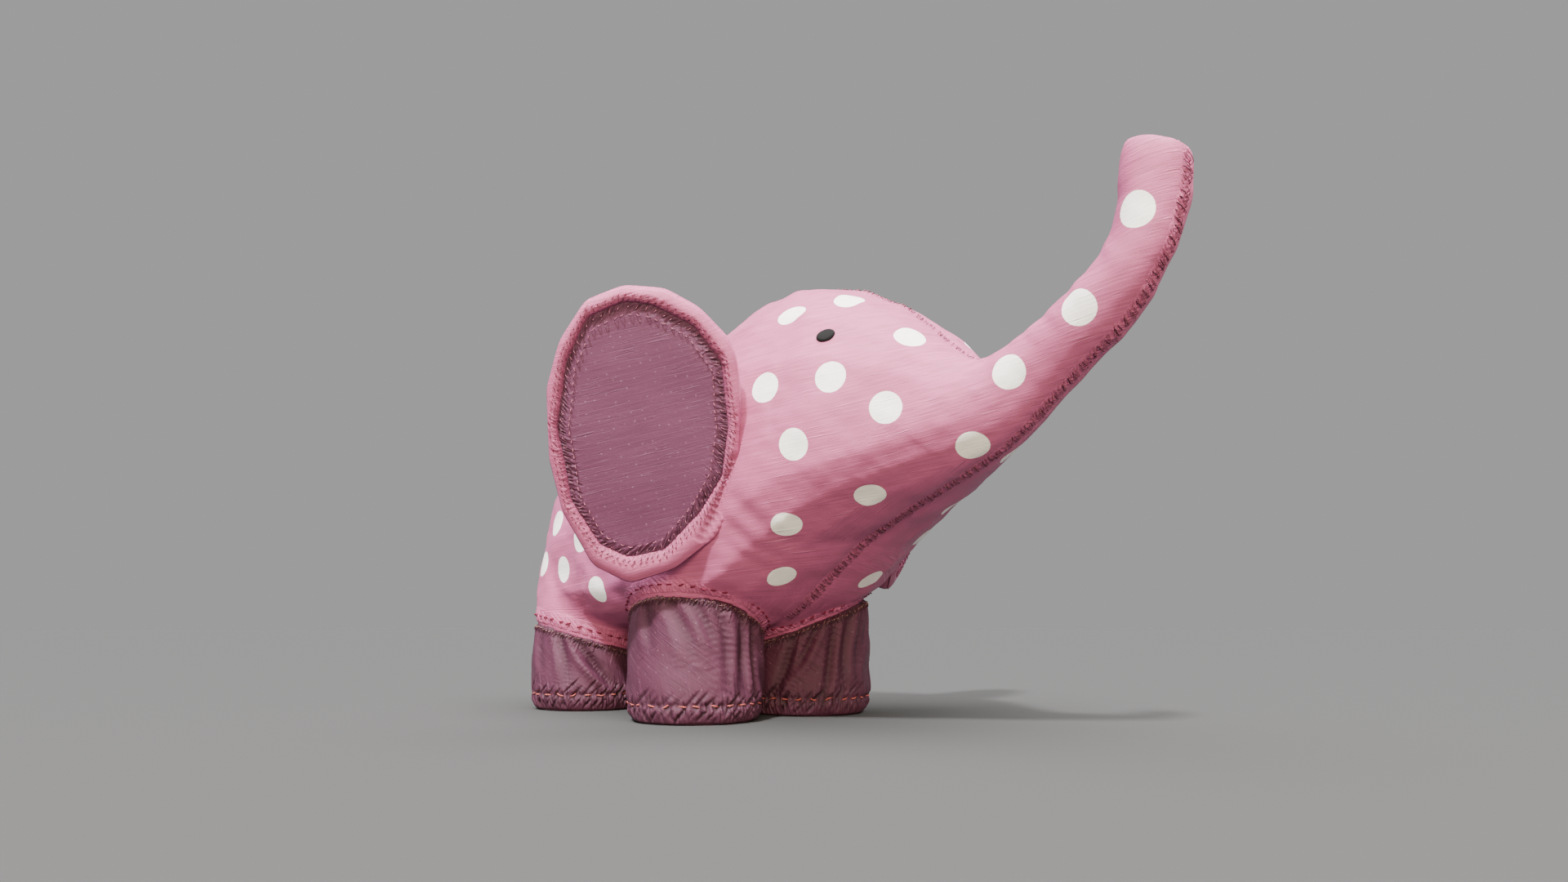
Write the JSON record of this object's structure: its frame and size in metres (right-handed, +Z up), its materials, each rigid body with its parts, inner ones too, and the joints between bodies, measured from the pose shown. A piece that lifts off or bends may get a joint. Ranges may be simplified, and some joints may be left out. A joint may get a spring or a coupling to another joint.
{
  "type": "stuffed elephant",
  "caption": "Small sewn and stuffed toy elephant with a raised trunk, flat oval ears that flap, cloth leg sleeves and a short tail.",
  "frame": {"origin": "on the surface it stands on, under the middle of the whole toy's box", "axes": "+Z up; the elephant faces along -Y, its left side is +X; it is symmetric about X = 0"},
  "size_m": [0.2482, 0.3699, 0.212],
  "materials": {
    "pink_cloth": "matte",
    "plum_cloth": "matte",
    "thread": "satin",
    "felt": "matte",
    "filling": "matte",
    "yarn": "matte"
  },
  "bodies": {
    "body": {"sleeve_front_right": "plum_cloth", "sleeve_front_left": "plum_cloth", "sole_front_right": "plum_cloth", "sole_front_left": "plum_cloth", "leg_stuffing_front_right": "filling", "leg_stuffing_front_left": "filling", "sleeve_stitching_front_right": "thread", "sleeve_stitching_front_left": "thread", "sole_stitching_front_right": "thread", "sole_stitching_front_left": "thread", "sleeve_rear_right": "plum_cloth", "sleeve_rear_left": "plum_cloth", "sole_rear_right": "plum_cloth", "sole_rear_left": "plum_cloth", "leg_stuffing_rear_right": "filling", "leg_stuffing_rear_left": "filling", "sleeve_stitching_rear_right": "thread", "sleeve_stitching_rear_left": "thread", "sole_stitching_rear_right": "thread", "sole_stitching_rear_left": "thread", "torso_stuffing": "filling", "belly_panel": "pink_cloth", "side_panel_right": "pink_cloth", "side_panel_left": "pink_cloth", "chin_seam": "thread", "forehead_and_back_seam": "thread", "ear_root_stitching_right": "thread", "ear_root_stitching_left": "thread", "eye_right": "felt", "eye_left": "felt"},
    "trunk": {"trunk_stuffing": "filling", "trunk_panel_right": "pink_cloth", "trunk_panel_left": "pink_cloth", "trunk_seam": "thread"},
    "right_ear": {"ear_back_right": "pink_cloth", "ear_lining_right": "plum_cloth", "ear_wadding_right": "filling", "ear_stitching_right": "thread"},
    "left_ear": {"ear_back_left": "pink_cloth", "ear_lining_left": "plum_cloth", "ear_wadding_left": "filling", "ear_stitching_left": "thread"},
    "tail": {"tail": "pink_cloth", "tail_tuft": "yarn"}
  },
  "joints": [
    {"name": "trunk_bend", "type": "hinge", "parent": "body", "child": "trunk", "pos_m": [0, -0.092, 0.125], "axis": [1, 0, 0], "range_deg": [-15, 15], "stiffness_Nm_per_rad": 0.6},
    {"name": "right_ear_flap", "type": "hinge", "parent": "body", "child": "right_ear", "pos_m": [-0.061, -0.011, 0.121], "axis": [-0.2717, -0.3237, 0.9063], "range_deg": [-12, 30], "stiffness_Nm_per_rad": 0.15},
    {"name": "left_ear_flap", "type": "hinge", "parent": "body", "child": "left_ear", "pos_m": [0.061, -0.011, 0.121], "axis": [-0.2717, 0.3237, -0.9063], "range_deg": [-12, 30], "stiffness_Nm_per_rad": 0.15},
    {"name": "tail_swing", "type": "hinge", "parent": "body", "child": "tail", "pos_m": [0, 0.171, 0.101], "axis": [1, 0, 0], "range_deg": [0, 60]}
  ]
}
